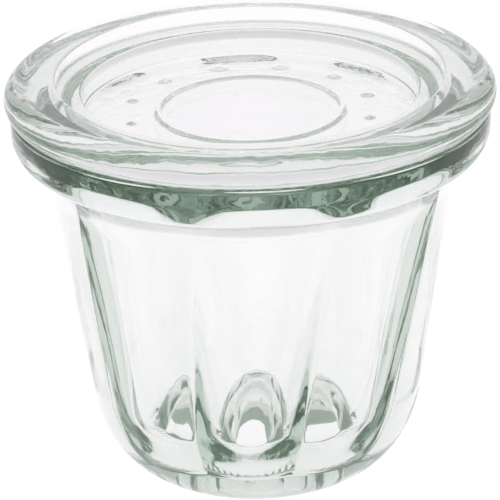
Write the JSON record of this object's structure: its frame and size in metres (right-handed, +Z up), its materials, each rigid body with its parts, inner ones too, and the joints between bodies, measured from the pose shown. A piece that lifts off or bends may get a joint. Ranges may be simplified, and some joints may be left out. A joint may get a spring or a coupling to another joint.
{
  "type": "canning jar",
  "caption": "Small empty glass canning jar with a tapered body, fluted inside, a domed floor, a heavy rounded collar and a loose glass lid with a stepped recess.",
  "frame": {"origin": "centre of the flat base, on the surface that the jar stands on", "axes": "+Z up along the jar's axis, -Y towards the camera, +X to the camera's right"},
  "size_m": [0.088, 0.088, 0.0755],
  "materials": {
    "jar_glass": "clear pressed glass, pale green where it is thick",
    "lid_glass": "clear pressed glass, pale green where it is thick"
  },
  "bodies": {
    "root": {"jar": "jar_glass", "lid": "lid_glass"}
  },
  "joints": []
}
